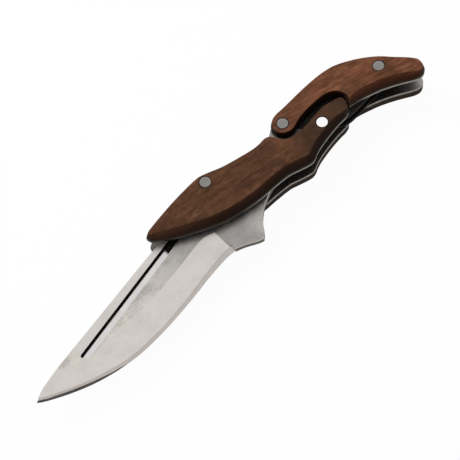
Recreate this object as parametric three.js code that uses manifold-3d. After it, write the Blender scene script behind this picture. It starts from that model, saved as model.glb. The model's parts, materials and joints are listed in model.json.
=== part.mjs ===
// Folding pocket knife with a two-part wooden handle.
// The blade folds into the handle about a hidden pivot under the front scales. The rear half of the
// handle is a grip lever on the two hinge rivets: squeezed towards the belly it lifts a tooth in front
// of a stud on the tang, so the hand that holds the open knife also locks it.
// Millimetres. X runs from the blade's tip to the butt, Y from the belly to the back, Z up.
// The knife lies on its far side. The origin is on the pivot's axis, on the far scale's outer face.

import * as THREE from 'three';
import { mergeVertices } from 'three/addons/utils/BufferGeometryUtils.js';
import Module from 'manifold-3d';

const wasm = await Module();
wasm.setup();

// Main lengths from the pivot. The butt always reaches past the folded point
const BLADE_REACH = 99.9;
const BUTT_MARGIN = 3.6;
const BUTT_REACH = BLADE_REACH + BUTT_MARGIN;

// The outlines are drawn for these reaches, and stretched when the main lengths change
const DRAWN_BLADE_REACH = 99.9;
const DRAWN_BUTT_REACH = 103.5;
const BUTT_STRETCH_START = 72;

// Layers of the handle, from the far face up
const SCALE_THICKNESS = 3.8;
const LINER_THICKNESS = 1.2;
const CHANNEL_WIDTH = 6.8;
const BLADE_THICKNESS = 2.8;
const LEVER_PLATE_THICKNESS = 1.5;
const PLATE_CLEARANCE = 0.05;

const LINER_OUTER = SCALE_THICKNESS;
const LINER_INNER = LINER_OUTER + LINER_THICKNESS;
const HANDLE_THICKNESS = 2 * LINER_INNER + CHANNEL_WIDTH;
const MIDDLE = HANDLE_THICKNESS / 2;
const NEAR_LINER_INNER = HANDLE_THICKNESS - LINER_INNER;
const NEAR_LINER_OUTER = HANDLE_THICKNESS - LINER_OUTER;
const BLADE_LOW = MIDDLE - BLADE_THICKNESS / 2;
const BLADE_HIGH = MIDDLE + BLADE_THICKNESS / 2;

// Turning places in the plane of the knife; the blade's pivot is the origin
const HINGE = new THREE.Vector2(43.1, 11.8);
const BLADE_FOLD = 170;

// Rivets through the scales
const RIVET_RADIUS = 2.38;
const RIVET_SHANK_RADIUS = 1.5;
const RIVET_FIT = 0.05;
const RUNNING_FIT = 0.08;
const FRONT_RIVET = new THREE.Vector2(3.5, 13.5);
const BUTT_RIVET = new THREE.Vector2(rearward(89.2), 4.3);

// Pivot, washers and stop pin
const PIVOT_RADIUS = 2.5;
const PIVOT_SPIGOT_RADIUS = 1.9;
const WASHER_RADIUS = 3.3;
const WASHER_CLEARANCE = 0.1;
const STOP_RADIUS = 1.5;
const STOP_ORBIT = 7.5;
const STOP_ANGLE = 155;
const STOP_CLEARANCE = 0.1;

// Lock stud on the tang and the lever's tooth that rises in front of it
const STUD_RADIUS = 1.2;
const STUD_ORBIT = 12.5;
const STUD_ANGLE = 55;
const STUD_LINER_GAP = 0.3;
const TOOTH_CLEARANCE = 0.3;
const TOOTH_START = 62;
const TOOTH_END = 80;
const NOSE_INNER_RADIUS = WASHER_RADIUS + 3;
const NOSE_WIDTH = 3.2;

// Where the two halves of the handle pass each other
const ARM_END_RADIUS = 5.5;
const LINER_TAB_RADIUS = 5.2;
const TAB_GAP = 0.6;
const FINGER_REACH = 27.4;
const FINGER_GAP = 0.8;
const FINGER_RIVET_SETBACK = 11.6;
const FINGER_RIVET = polar(HINGE, FINGER_REACH - FINGER_RIVET_SETBACK, -42.7);

// Leaf spring that presses the lever's nose down, held by an eye on a small rivet
const SPRING_THICKNESS = 0.6;
const SPRING_WIDTH = 1.3;
const SPRING_EYE_RADIUS = 1.3;
const SPRING_RIVET_RADIUS = 0.7;
const SPRING_RIVET = new THREE.Vector2(31.5, 10.5);

// Back spacer between the rear liners
const SPACER_INSET = 0.3;
const SPACER_PIN_RADIUS = 0.6;
const SPACER_PINS = [new THREE.Vector2(60, 17.25), new THREE.Vector2(rearward(88.6), 10.3)];

// Grinding of the blade
const EDGE_HALF_THICKNESS = 0.18;
const CHANNEL_DEPTH = 1.1;
const CHANNEL_HALF_WIDTH = 0.85;
const PULL_DEPTH = 0.35;

// Bevels on the wooden scales, by the stretch of the outline they run along
const NEAR_EDGE_HEIGHT = 1.2;
const BELLY_BEVEL = 2.8;
const FAR_EDGE_HEIGHT = 3.1;
const FAR_BEVEL = 0.6;
const BACK_BEVEL = 0.9;
const INNER_BEVEL = 0.5;
const OUTLINE_STEP = 2.7;
const ROUND_SEGMENTS = 28;

// Colours and finishes
const walnut = { color: 0x5a3a2a, roughness: 0.5, metalness: 0 };
const redWood = { color: 0x7a4e38, roughness: 0.5, metalness: 0 };
const bladeSteel = { color: 0xb4b0aa, roughness: 0.3, metalness: 1 };
const linerSteel = { color: 0x9a9894, roughness: 0.4, metalness: 1 };
const rivetSteel = { color: 0x8a8682, roughness: 0.35, metalness: 1 };
const darkSteel = { color: 0x2c2a28, roughness: 0.5, metalness: 1 };
const bronze = { color: 0x9c7a45, roughness: 0.4, metalness: 1 };

// Solids and cuts

function toSolid(geometry) {
  const bare = geometry.clone();
  bare.deleteAttribute('normal');
  bare.deleteAttribute('uv');
  const merged = mergeVertices(bare, 1e-4);
  return new wasm.Manifold(new wasm.Mesh({
    numProp: 3,
    vertProperties: new Float32Array(merged.attributes.position.array),
    triVerts: new Uint32Array(merged.index.array),
  }));
}

function toGeometry(solid) {
  const mesh = solid.getMesh();
  const geometry = new THREE.BufferGeometry();
  geometry.setAttribute('position', new THREE.BufferAttribute(new Float32Array(mesh.vertProperties), 3));
  geometry.setIndex(new THREE.BufferAttribute(new Uint32Array(mesh.triVerts), 1));
  geometry.computeVertexNormals();
  return geometry;
}

function cut(geometry, ...tools) {
  return toGeometry(tools.reduce((body, tool) => body.subtract(toSolid(tool)), toSolid(geometry)));
}

function join(geometry, ...others) {
  return toGeometry(others.reduce((body, other) => body.add(toSolid(other)), toSolid(geometry)));
}

// The same piece on the other side of the knife's middle plane
function mirrored(geometry) {
  const copy = mergeVertices(geometry.clone().deleteAttribute('normal').deleteAttribute('uv'), 1e-4);
  copy.scale(1, 1, -1);
  copy.translate(0, 0, HANDLE_THICKNESS);
  const index = copy.index.array;
  for (let i = 0; i < index.length; i += 3) {
    [index[i + 1], index[i + 2]] = [index[i + 2], index[i + 1]];
  }
  copy.computeVertexNormals();
  return copy;
}

function rod(place, radius, low, high) {
  const geometry = new THREE.CylinderGeometry(radius, radius, high - low, ROUND_SEGMENTS);
  geometry.rotateX(Math.PI / 2);
  geometry.translate(place.x, place.y, (low + high) / 2);
  return geometry;
}

// Turned piece: steps is a list of [radius, height] from the bottom up
function turned(place, steps) {
  const low = steps[0][1];
  const high = steps[steps.length - 1][1];
  const profile = [[0, low], ...steps, [0, high]].map(([r, z]) => new THREE.Vector2(r, z));
  const geometry = new THREE.LatheGeometry(profile, ROUND_SEGMENTS);
  geometry.rotateX(Math.PI / 2);
  geometry.translate(place.x, place.y, 0);
  return geometry;
}

function plate(points, low, high) {
  const geometry = new THREE.ExtrudeGeometry(new THREE.Shape(points), {
    depth: high - low,
    bevelEnabled: false,
  });
  geometry.translate(0, 0, low);
  return geometry;
}

// Outlines

const ORIGIN = new THREE.Vector2(0, 0);

function point(x, y) {
  return new THREE.Vector2(x, y);
}

function polar(centre, radius, degrees) {
  const angle = THREE.MathUtils.degToRad(degrees);
  return new THREE.Vector2(centre.x + radius * Math.cos(angle), centre.y + radius * Math.sin(angle));
}

function curve(pairs) {
  return new THREE.SplineCurve(pairs.map(([x, y]) => point(x, y)));
}

function rearward(x) {
  const stretch = (BUTT_REACH - BUTT_STRETCH_START) / (DRAWN_BUTT_REACH - BUTT_STRETCH_START);
  return x > BUTT_STRETCH_START ? BUTT_STRETCH_START + (x - BUTT_STRETCH_START) * stretch : x;
}

function rearPairs(pairs) {
  return pairs.map(([x, y]) => [rearward(x), y]);
}

function bladePairs(pairs) {
  return pairs.map(([x, y]) => [(x * BLADE_REACH) / DRAWN_BLADE_REACH, y]);
}

function arc(centre, radius, from, to) {
  const [a, b] = [from, to].map(THREE.MathUtils.degToRad);
  return new THREE.EllipseCurve(centre.x, centre.y, radius, radius, a, b, to < from);
}

// A run is a curve and the bevel along it; runs follow each other anticlockwise
function outline(runs, step = OUTLINE_STEP) {
  const points = [];
  const bevels = [];
  for (const { along, bevel = 0 } of runs) {
    const count = Math.max(2, Math.round(along.getLength() / step));
    for (const spot of along.getSpacedPoints(count).slice(0, -1)) {
      points.push(spot);
      bevels.push(bevel);
    }
  }
  return { points, bevels: smoothed(bevels) };
}

function smoothed(values) {
  const passes = 3;
  let result = values;
  for (let pass = 0; pass < passes; pass += 1) {
    const last = result;
    result = last.map((value, i) => {
      const before = last[(i + last.length - 1) % last.length];
      const after = last[(i + 1) % last.length];
      return (before + 2 * value + after) / 4;
    });
  }
  return result;
}

// Moves each corner of a closed anticlockwise outline inwards by its own distance
function inset(points, distances) {
  return points.map((spot, i) => {
    const before = points[(i + points.length - 1) % points.length];
    const after = points[(i + 1) % points.length];
    const tangent = after.clone().sub(before).normalize();
    const inward = point(-tangent.y, tangent.x);
    const distance = Array.isArray(distances) ? distances[i] : distances;
    return spot.clone().addScaledVector(inward, distance);
  });
}

// Closed body through rings of equal length; each ring is a list of 3-D points
function lofted(rings, capFaces) {
  const count = rings[0].length;
  const positions = rings.flat().flatMap((spot) => [spot.x, spot.y, spot.z]);
  const index = [];
  for (let ring = 0; ring + 1 < rings.length; ring += 1) {
    for (let i = 0; i < count; i += 1) {
      const a = ring * count + i;
      const b = ring * count + ((i + 1) % count);
      index.push(a, b, b + count, a, b + count, a + count);
    }
  }
  const top = (rings.length - 1) * count;
  for (const [a, b, c] of capFaces(rings[0])) {
    index.push(a, c, b);
  }
  for (const [a, b, c] of capFaces(rings[rings.length - 1])) {
    index.push(top + a, top + b, top + c);
  }
  const geometry = new THREE.BufferGeometry();
  geometry.setAttribute('position', new THREE.Float32BufferAttribute(positions, 3));
  geometry.setIndex(index);
  return geometry;
}

function flatCap(ring) {
  return THREE.ShapeUtils.triangulateShape(ring.map((spot) => point(spot.x, spot.y)), []);
}

function fanCap(ring) {
  return ring.slice(2).map((_, i) => [0, i + 1, i + 2]);
}

// Wooden scale: square at the liner, then a bevel that rounds over to the flat face
function scaleSlab({ points, bevels }, edgeHeight, widest) {
  const slope = [[0, 0], [0.5, 0.42], [0.85, 0.78], [1, 1]];
  const levels = slope.map(([rise, share]) => (
    [edgeHeight + rise * (SCALE_THICKNESS - edgeHeight), share]
  ));
  const rings = [[0, 0], ...levels].map(([height, share]) => {
    const ring = inset(points, bevels.map((width) => Math.min(width, widest) * share));
    return ring.map((spot) => new THREE.Vector3(spot.x, spot.y, NEAR_LINER_OUTER + height));
  });
  return lofted(rings, flatCap);
}

// Outlines of the handle's two halves

const FRONT_BACK = curve([
  [35.6, 12.7], [28.6, 12], [22.8, 12.7], [17.3, 13.7], [12.1, 14.9], [7.2, 16.6], [2, 17.8],
  [-8.2, 16.9], [-15.3, 15.8], [-22.5, 14.4], [-26.6, 13.4],
]);
const NOSE = curve([[-26.6, 13.4], [-28.1, 12.6], [-28.6, 11.3], [-27.6, 9.9], [-26, 8.6]]);
const FRONT_BELLY = curve([
  [-26, 8.6], [-19.1, 4.3], [-8.5, -0.7], [-2.8, -2.8], [3.4, -4.4], [9.9, -5.3], [16, -5.7],
  [23.9, -5.6], [30.5, -5.9], [35, -7.1], [38.8, -8],
]);
const BELLY_CORNER = curve([[38.8, -8], [40.6, -8.2], [42.4, -7.8]]);
const FINGER_END = arc(HINGE, FINGER_REACH, -29, -18);
const FINGER_START = polar(HINGE, FINGER_REACH, -29);
const FINGER_STOP = polar(HINGE, FINGER_REACH, -18);
const FINGER_CORNER = polar(HINGE, FINGER_REACH - 1.6, -34.2);
const FINGER_BELLY = curve([
  [42.4, -7.8], [46.8, -5.8], [54.2, -3.9], [60.8, -2.8], FINGER_CORNER.toArray(),
]);
const FINGER_HEEL = new THREE.LineCurve(FINGER_CORNER, FINGER_START);
const FINGER_SHOULDER = polar(HINGE, FINGER_REACH - 2.4, -15.3);
const FINGER_BACK = [
  FINGER_SHOULDER.toArray(), [63.5, 5.9], [59.8, 6.4], [55.2, 5.9], [51.3, 5.3], [48.3, 4.8],
];
const FINGER_TIP = curve([
  FINGER_STOP.toArray(), polar(HINGE, FINGER_REACH - 0.95, -15.6).toArray(), FINGER_BACK[0],
]);

// The scale stops short of the arm's round end; the liner runs on under it as a tab round the hinge
const SCALE_NECK = curve([
  [44.4, 4.6], [41.6, 4.5], [39.7, 4.9], [38.3, 6], [37.2, 7.6], [36.8, 9.2], [36.5, 11.2],
  [35.6, 12.7],
]);
const SCALE_FINGER_BACK = curve([...FINGER_BACK, [44.4, 4.6]]);
const LINER_FINGER_BACK = curve(FINGER_BACK);
const TAB_START = polar(HINGE, LINER_TAB_RADIUS, -45);
const TAB_END = polar(HINGE, LINER_TAB_RADIUS, 150);
const TAB_ROOT = curve([[48.3, 4.8], [47.2, 6], [TAB_START.x, TAB_START.y]]);
const TAB = arc(HINGE, LINER_TAB_RADIUS, -45, 150);
const TAB_SHOULDER = curve([[TAB_END.x, TAB_END.y], [37.2, 13.2], [35.6, 12.7]]);

const FRONT_EDGES = [
  { along: FRONT_BACK, bevel: BACK_BEVEL },
  { along: NOSE, bevel: BACK_BEVEL },
  { along: FRONT_BELLY, bevel: BELLY_BEVEL },
  { along: BELLY_CORNER, bevel: BELLY_BEVEL },
  { along: FINGER_BELLY, bevel: BELLY_BEVEL * 0.8 },
  { along: FINGER_HEEL, bevel: BACK_BEVEL },
  { along: FINGER_END, bevel: INNER_BEVEL },
  { along: FINGER_TIP, bevel: INNER_BEVEL },
];
const FRONT_SCALE_OUTLINE = outline([
  ...FRONT_EDGES,
  { along: SCALE_FINGER_BACK, bevel: INNER_BEVEL },
  { along: SCALE_NECK, bevel: INNER_BEVEL },
]);
const FRONT_LINER_OUTLINE = outline([
  ...FRONT_EDGES,
  { along: LINER_FINGER_BACK },
  { along: TAB_ROOT },
  { along: TAB },
  { along: TAB_SHOULDER },
]);

const REAR_REACH = FINGER_REACH + FINGER_GAP;
const REAR_HEEL = polar(HINGE, REAR_REACH, -24.4);
const REAR_THROAT = polar(HINGE, REAR_REACH, -12);
const ARM_TOP = polar(HINGE, ARM_END_RADIUS, 80);
const ARM_BOTTOM = polar(HINGE, ARM_END_RADIUS, -80);
const REAR_BACK_PAIRS = rearPairs([
  [103.5, -4.6], [102.3, -2.4], [100.3, 0.1], [96.9, 3.7], [93.8, 7.3], [90, 10.6], [85.9, 13.4],
  [81.5, 15.8], [76.7, 17.8], [70.9, 18.8], [64.2, 18.9], [57.2, 18.5], [49.9, 17.8],
]);
const REAR_BACK = curve([...REAR_BACK_PAIRS, [ARM_TOP.x, ARM_TOP.y]]);
const REAR_HEEL_END = point(REAR_HEEL.x + 3, REAR_HEEL.y - 0.3);
const REAR_HEEL_RUN = new THREE.LineCurve(REAR_HEEL, REAR_HEEL_END);
const REAR_BELLY = curve([
  REAR_HEEL_END.toArray(),
  ...rearPairs([[74.8, -0.7], [78.7, -1.7], [83.1, -3], [87.1, -4.6], [91, -6.4], [94.7, -8.4],
    [97.4, -9.7]]),
]);
const BUTT = curve(rearPairs(
  [[97.4, -9.7], [99.4, -10.2], [101.8, -9.5], [103.2, -7.6], [103.5, -4.6]],
));
const ARM_END = arc(HINGE, ARM_END_RADIUS, 80, 280);
const ARM_BELLY_PAIRS = [
  [48.6, 8.1], [52.3, 9], [57, 9.5], [62, 9.6],
  polar(HINGE, REAR_REACH - 5.3, -6.3).toArray(), polar(HINGE, REAR_REACH - 2.8, -8.6).toArray(),
];
const ARM_BELLY = curve([[ARM_BOTTOM.x, ARM_BOTTOM.y], [45.8, 7], ...ARM_BELLY_PAIRS,
  [REAR_THROAT.x, REAR_THROAT.y]]);
const THROAT = arc(HINGE, REAR_REACH, -12, -24.4);

const REAR_SCALE_OUTLINE = outline([
  { along: REAR_HEEL_RUN, bevel: BACK_BEVEL },
  { along: REAR_BELLY, bevel: BELLY_BEVEL },
  { along: BUTT, bevel: BACK_BEVEL },
  { along: REAR_BACK, bevel: BACK_BEVEL },
  { along: ARM_END, bevel: INNER_BEVEL },
  { along: ARM_BELLY, bevel: INNER_BEVEL },
  { along: THROAT, bevel: INNER_BEVEL },
]);

// The rear liner stops at an arc round the front liner's tab
const LINER_STOP_RADIUS = LINER_TAB_RADIUS + TAB_GAP;
const LINER_STOP_TOP = polar(HINGE, LINER_STOP_RADIUS, 72);
const LINER_STOP_BOTTOM = polar(HINGE, LINER_STOP_RADIUS, -33);
const REAR_LINER_OUTLINE = outline([
  { along: REAR_HEEL_RUN },
  { along: REAR_BELLY },
  { along: BUTT },
  { along: curve([...REAR_BACK_PAIRS, [LINER_STOP_TOP.x, LINER_STOP_TOP.y]]) },
  { along: arc(HINGE, LINER_STOP_RADIUS, 72, -33) },
  { along: curve([[LINER_STOP_BOTTOM.x, LINER_STOP_BOTTOM.y], ...ARM_BELLY_PAIRS,
    [REAR_THROAT.x, REAR_THROAT.y]]) },
  { along: THROAT },
]);

// Rivets and pins shared by the two sides

function linerPlate({ points }, holes) {
  const tools = holes.map(([place, radius]) => rod(place, radius, NEAR_LINER_INNER - 1, NEAR_LINER_OUTER + 1));
  return cut(plate(points, NEAR_LINER_INNER, NEAR_LINER_OUTER), ...tools);
}

function woodScale(form, rivets, edgeHeight, widest) {
  const tools = rivets.map((place) => (
    rod(place, RIVET_RADIUS + RIVET_FIT, NEAR_LINER_OUTER - 1, HANDLE_THICKNESS + 1)
  ));
  return cut(scaleSlab(form, edgeHeight, widest), ...tools);
}

// Flush rivet: a broad head sunk in the wood and a shank peened level with the inside
function scaleRivet(place, innerEnd) {
  return turned(place, [
    [RIVET_SHANK_RADIUS, innerEnd],
    [RIVET_SHANK_RADIUS, NEAR_LINER_OUTER],
    [RIVET_RADIUS, NEAR_LINER_OUTER],
    [RIVET_RADIUS, HANDLE_THICKNESS - 0.15],
    [RIVET_RADIUS - 0.15, HANDLE_THICKNESS],
  ]);
}

const STOP_PLACE = polar(ORIGIN, STOP_ORBIT, STOP_ANGLE);
const SHANK_HOLE = RIVET_SHANK_RADIUS + RIVET_FIT;

function frontLiner() {
  return linerPlate(FRONT_LINER_OUTLINE, [
    [FRONT_RIVET, SHANK_HOLE],
    [FINGER_RIVET, SHANK_HOLE],
    [HINGE, RIVET_SHANK_RADIUS + RUNNING_FIT],
    [ORIGIN, PIVOT_SPIGOT_RADIUS + RIVET_FIT],
    [STOP_PLACE, STOP_RADIUS + RIVET_FIT],
    [SPRING_RIVET, SPRING_RIVET_RADIUS + RIVET_FIT],
  ]);
}

function rearLiner() {
  return linerPlate(REAR_LINER_OUTLINE, [
    [BUTT_RIVET, SHANK_HOLE],
    ...SPACER_PINS.map((place) => [place, SPACER_PIN_RADIUS + RIVET_FIT]),
  ]);
}

// Lever plate: hidden arm of the rear half, from the tooth over the pivot back to the butt rivet
const PLATE_LOW = NEAR_LINER_INNER - PLATE_CLEARANCE - LEVER_PLATE_THICKNESS;
const PLATE_HIGH = NEAR_LINER_INNER - PLATE_CLEARANCE;

function leverPlate() {
  const toothRadius = STUD_ORBIT - STUD_RADIUS - TOOTH_CLEARANCE;
  const noseOuter = NOSE_INNER_RADIUS + NOSE_WIDTH;
  const toothFoot = polar(ORIGIN, noseOuter, TOOTH_START);
  const toothTip = polar(ORIGIN, toothRadius, TOOTH_START);
  const toothBack = polar(ORIGIN, toothRadius, TOOTH_END);
  const noseEnd = polar(ORIGIN, NOSE_INNER_RADIUS, TOOTH_END);
  const neckInner = polar(ORIGIN, NOSE_INNER_RADIUS, 15);
  const neckOuter = polar(ORIGIN, noseOuter, 30);
  const form = outline([
    { along: curve([[neckInner.x, neckInner.y], [12, 1.2], [22, 2.4], [34, 4.2], [44, 4.6], [52, 2.6],
      [60, -0.6], [65.5, -2.2], ...rearPairs([[71, -2.2], [78, -1.4], [86, -0.8], [91.5, 1]])]) },
    { along: curve(rearPairs([[91.5, 1], [92.8, 4.2], [90.6, 7.2], [85.5, 10.2], [80, 12.8],
      [73, 14.9], [64, 15.5], [54, 15], [46.5, 15.2]])) },
    { along: curve([[46.5, 15.2], [42.5, 16.1], [38.6, 14], [36, 10], [30, 7.6], [22, 6.6],
      [15, 6.1], [neckOuter.x, neckOuter.y]]) },
    { along: arc(ORIGIN, noseOuter, 30, TOOTH_START) },
    { along: new THREE.LineCurve(toothFoot, toothTip) },
    { along: arc(ORIGIN, toothRadius, TOOTH_START, TOOTH_END) },
    { along: new THREE.LineCurve(toothBack, noseEnd) },
    { along: arc(ORIGIN, NOSE_INNER_RADIUS, TOOTH_END, 15) },
  ]);
  return cut(
    plate(form.points, PLATE_LOW, PLATE_HIGH),
    rod(HINGE, SHANK_HOLE, PLATE_LOW - 1, PLATE_HIGH + 1),
    rod(BUTT_RIVET, SHANK_HOLE, PLATE_LOW - 1, PLATE_HIGH + 1),
  );
}

// Leaf spring from its eye to the top of the lever's nose
function leafSpring() {
  const half = SPRING_THICKNESS / 2;
  const top = SPRING_RIVET.clone().add(point(0, SPRING_EYE_RADIUS - half));
  const leaf = curve([top.toArray(), [27, 11.3], [21.5, 9.6], [15.5, 6.85]]);
  const steps = 10;
  const upper = [];
  const lower = [];
  for (let i = 0; i <= steps; i += 1) {
    const spot = leaf.getPointAt(i / steps);
    const along = leaf.getTangentAt(i / steps);
    const side = point(-along.y, along.x).multiplyScalar(half);
    upper.unshift(spot.clone().sub(side));
    lower.push(spot.clone().add(side));
  }
  const high = PLATE_HIGH;
  const low = PLATE_HIGH - SPRING_WIDTH;
  return cut(
    join(plate([...upper, ...lower], low, high), rod(SPRING_RIVET, SPRING_EYE_RADIUS, low, high)),
    rod(SPRING_RIVET, SPRING_RIVET_RADIUS + RIVET_FIT, low - 1, high + 1),
  );
}

// Back spacer: a strip between the rear liners along the back, turned down inside the butt
function backSpacer() {
  const outerPoints = inset(
    outline([{ along: curve([[rearward(103.2), -7.6], ...REAR_BACK_PAIRS]) }]).points,
    SPACER_INSET,
  ).slice(1);
  const innerPoints = outline([{ along: curve(rearPairs([
    [50.4, 15.9], [57.4, 16.3], [64.4, 16.7], [70.6, 16.6], [75.8, 15.7], [80.4, 13.9], [84.8, 11.5],
    [88.7, 8.8], [92.2, 5.7], [95.3, 2.3], [98.6, -1], [100.7, -3], [101.8, -4.9], [101.8, -7.4],
  ])) }]).points;
  const tools = SPACER_PINS.map((place) => (
    rod(place, SPACER_PIN_RADIUS + RIVET_FIT, LINER_INNER - 1, NEAR_LINER_INNER + 1)
  ));
  return cut(plate([...outerPoints, ...innerPoints], LINER_INNER, NEAR_LINER_INNER), ...tools);
}

// Blade

const TIP = point(-BLADE_REACH, -8.7);
const HEEL = point(-4.6, -13.9);
const SPINE = curve(bladePairs([[-6.5, 12.6], [-29.5, 8.2], [-56.8, 2.4], [-84.2, -3.4]]));
const POINT_BACK = curve([
  ...bladePairs([[-84.2, -3.4], [-91.4, -5.2], [-95.8, -6.5]]), TIP.toArray(),
]);
const EDGE_PAIRS = [
  TIP.toArray(),
  ...bladePairs([[-96.7, -10.7], [-88.2, -14.6], [-79.3, -17.7], [-69.4, -19.8], [-58.4, -20.6],
    [-45.8, -19.7], [-31.9, -17.5], [-22.2, -15.5], [-16.1, -14.4], [-10.2, -13.6]]),
  [HEEL.x - 1, HEEL.y + 0.3],
];
const EDGE = curve(EDGE_PAIRS);
const GUARD = curve([[HEEL.x - 1, HEEL.y + 0.3], HEEL.toArray(), [-2.4, -14.6], [0.5, -15.9],
  [3.2, -17.3], [5.6, -18]]);
const HORN = curve([[5.6, -18], [6.4, -17.2], [7.7, -16], [10, -12.4], [12.4, -9.9], [15, -7.9],
  [17.8, -6.2], [20.6, -4.9], [24.4, -3.8]]);
const TAIL = curve([[24.4, -3.8], [27.6, -3], [28.2, -1.8], [26.8, -1], [21, -0.6], [16.5, 2],
  [13.8, 6.4], [11.6, 10.8]]);
const TANG_TOP = curve([[11.6, 10.8], [9.6, 13], [6, 14.2], [0, 13.8], [-6.5, 12.6]]);

// A wedge of ground-away steel on the near side, between the bevel line and the edge
function bevelGrind() {
  const ridge = curve(bladePairs([[-6.7, -2.8], [-11.4, -1.4], [-17.6, -2.3], [-24.6, -4],
    [-30.7, -5.2], [-41, -7], [-50, -7.5], [-62, -7.7], [-72, -7.6], [-80, -6.5], [-86.8, -4.6],
    [-92, -3.2], [-97, -1.8], [-101.5, -0.8]]));
  const foot = curve([...EDGE_PAIRS].reverse());
  const stations = 40;
  const beyond = 4;
  const lift = 3;
  const rings = [];
  for (let i = 0; i <= stations; i += 1) {
    const share = i / stations;
    const top = ridge.getPointAt(share);
    const low = foot.getPointAt(share);
    const run = low.clone().sub(top);
    const far = low.clone().addScaledVector(run.clone().normalize(), beyond);
    const drop = (BLADE_THICKNESS / 2 - EDGE_HALF_THICKNESS) / run.length();
    const farHeight = MIDDLE + EDGE_HALF_THICKNESS - drop * beyond;
    rings.push([
      new THREE.Vector3(top.x, top.y, BLADE_HIGH),
      new THREE.Vector3(far.x, far.y, Math.max(farHeight, MIDDLE + 0.02)),
      new THREE.Vector3(far.x, far.y, BLADE_HIGH + lift),
      new THREE.Vector3(top.x, top.y, BLADE_HIGH + lift),
    ]);
  }
  return lofted(rings, fanCap);
}

// The near face's long pull: a narrow dark channel beside a shallow polished floor
function longPull() {
  const start = point(-14, 8.4);
  const [end] = bladePairs([[-76, -6.7]]).map(([x, y]) => point(x, y));
  const along = end.clone().sub(start);
  const length = along.length();
  const angle = Math.atan2(along.y, along.x);
  const slot = (halfWidth, reach) => {
    const shape = new THREE.Shape();
    shape.moveTo(0, halfWidth);
    shape.lineTo(0, -halfWidth);
    shape.lineTo(reach, -halfWidth);
    shape.absarc(reach, 0, halfWidth, -Math.PI / 2, Math.PI / 2, false);
    return shape.getPoints(6);
  };
  const lay = (halfWidth, depth, shift, reach) => {
    const geometry = plate(slot(halfWidth, reach), BLADE_HIGH - depth, BLADE_HIGH + 1);
    geometry.translate(0, shift, 0);
    geometry.rotateZ(angle);
    geometry.translate(start.x, start.y, 0);
    return geometry;
  };
  const floorHalfWidth = 2;
  const floorShift = floorHalfWidth - CHANNEL_HALF_WIDTH;
  return [
    lay(CHANNEL_HALF_WIDTH, CHANNEL_DEPTH, 0, length),
    lay(floorHalfWidth, PULL_DEPTH, floorShift, length - floorHalfWidth),
  ];
}

// Arc slot for the stop pin, long enough for the whole fold
function stopSlot() {
  const half = STOP_RADIUS + STOP_CLEARANCE;
  const from = STOP_ANGLE - BLADE_FOLD;
  const points = outline([
    { along: arc(ORIGIN, STOP_ORBIT + half, from, STOP_ANGLE) },
    { along: arc(polar(ORIGIN, STOP_ORBIT, STOP_ANGLE), half, STOP_ANGLE, STOP_ANGLE + 180) },
    { along: arc(ORIGIN, STOP_ORBIT - half, STOP_ANGLE, from) },
    { along: arc(polar(ORIGIN, STOP_ORBIT, from), half, from - 180, from) },
  ], 0.8).points;
  return plate(points, BLADE_LOW - 1, BLADE_HIGH + 1);
}

const STUD_PLACE = polar(ORIGIN, STUD_ORBIT, STUD_ANGLE);

function blade() {
  const form = outline([
    { along: SPINE }, { along: POINT_BACK }, { along: EDGE }, { along: GUARD }, { along: HORN },
    { along: TAIL }, { along: TANG_TOP },
  ], 2);
  const grind = bevelGrind();
  return cut(
    plate(form.points, BLADE_LOW, BLADE_HIGH),
    grind,
    mirrored(grind),
    ...longPull(),
    stopSlot(),
    rod(ORIGIN, PIVOT_RADIUS + RUNNING_FIT, BLADE_LOW - 1, BLADE_HIGH + 1),
    rod(STUD_PLACE, STUD_RADIUS + RIVET_FIT, BLADE_LOW - 1, BLADE_HIGH + 1),
  );
}

// Pivot barrel with a spigot in each liner
function pivotBarrel() {
  return turned(ORIGIN, [
    [PIVOT_SPIGOT_RADIUS, LINER_OUTER],
    [PIVOT_SPIGOT_RADIUS, LINER_INNER],
    [PIVOT_RADIUS, LINER_INNER],
    [PIVOT_RADIUS, NEAR_LINER_INNER],
    [PIVOT_SPIGOT_RADIUS, NEAR_LINER_INNER],
    [PIVOT_SPIGOT_RADIUS, NEAR_LINER_OUTER],
  ]);
}

function washer() {
  const low = BLADE_HIGH + WASHER_CLEARANCE;
  return cut(
    rod(ORIGIN, WASHER_RADIUS, low, NEAR_LINER_INNER),
    rod(ORIGIN, PIVOT_RADIUS + RIVET_FIT, low - 1, NEAR_LINER_INNER + 1),
  );
}

// Assembly

const knife = new THREE.Group();
knife.name = 'folding_pocket_knife';

function add(name, geometry, finish) {
  const mesh = new THREE.Mesh(geometry, new THREE.MeshStandardMaterial(finish));
  mesh.name = name;
  knife.add(mesh);
}

function addScales(name, form, rivets, finish) {
  add(`${name}_near`, woodScale(form, rivets, NEAR_EDGE_HEIGHT, BELLY_BEVEL), finish);
  add(`${name}_far`, mirrored(woodScale(form, rivets, FAR_EDGE_HEIGHT, FAR_BEVEL)), finish);
}

function addPair(name, geometry, finish) {
  add(`${name}_near`, geometry, finish);
  add(`${name}_far`, mirrored(geometry), finish);
}

add('blade', blade(), bladeSteel);
add('lock_stud', rod(
  STUD_PLACE, STUD_RADIUS, LINER_INNER + STUD_LINER_GAP, NEAR_LINER_INNER - STUD_LINER_GAP,
), rivetSteel);
add('pivot_barrel', pivotBarrel(), rivetSteel);
add('stop_pin', rod(STOP_PLACE, STOP_RADIUS, LINER_OUTER, NEAR_LINER_OUTER), rivetSteel);
addPair('washer', washer(), bronze);

addScales('front_scale', FRONT_SCALE_OUTLINE, [FRONT_RIVET, FINGER_RIVET], walnut);
addPair('front_liner', frontLiner(), linerSteel);
addPair('front_rivet', scaleRivet(FRONT_RIVET, NEAR_LINER_INNER), rivetSteel);
addPair('finger_rivet', scaleRivet(FINGER_RIVET, NEAR_LINER_INNER), rivetSteel);

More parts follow.
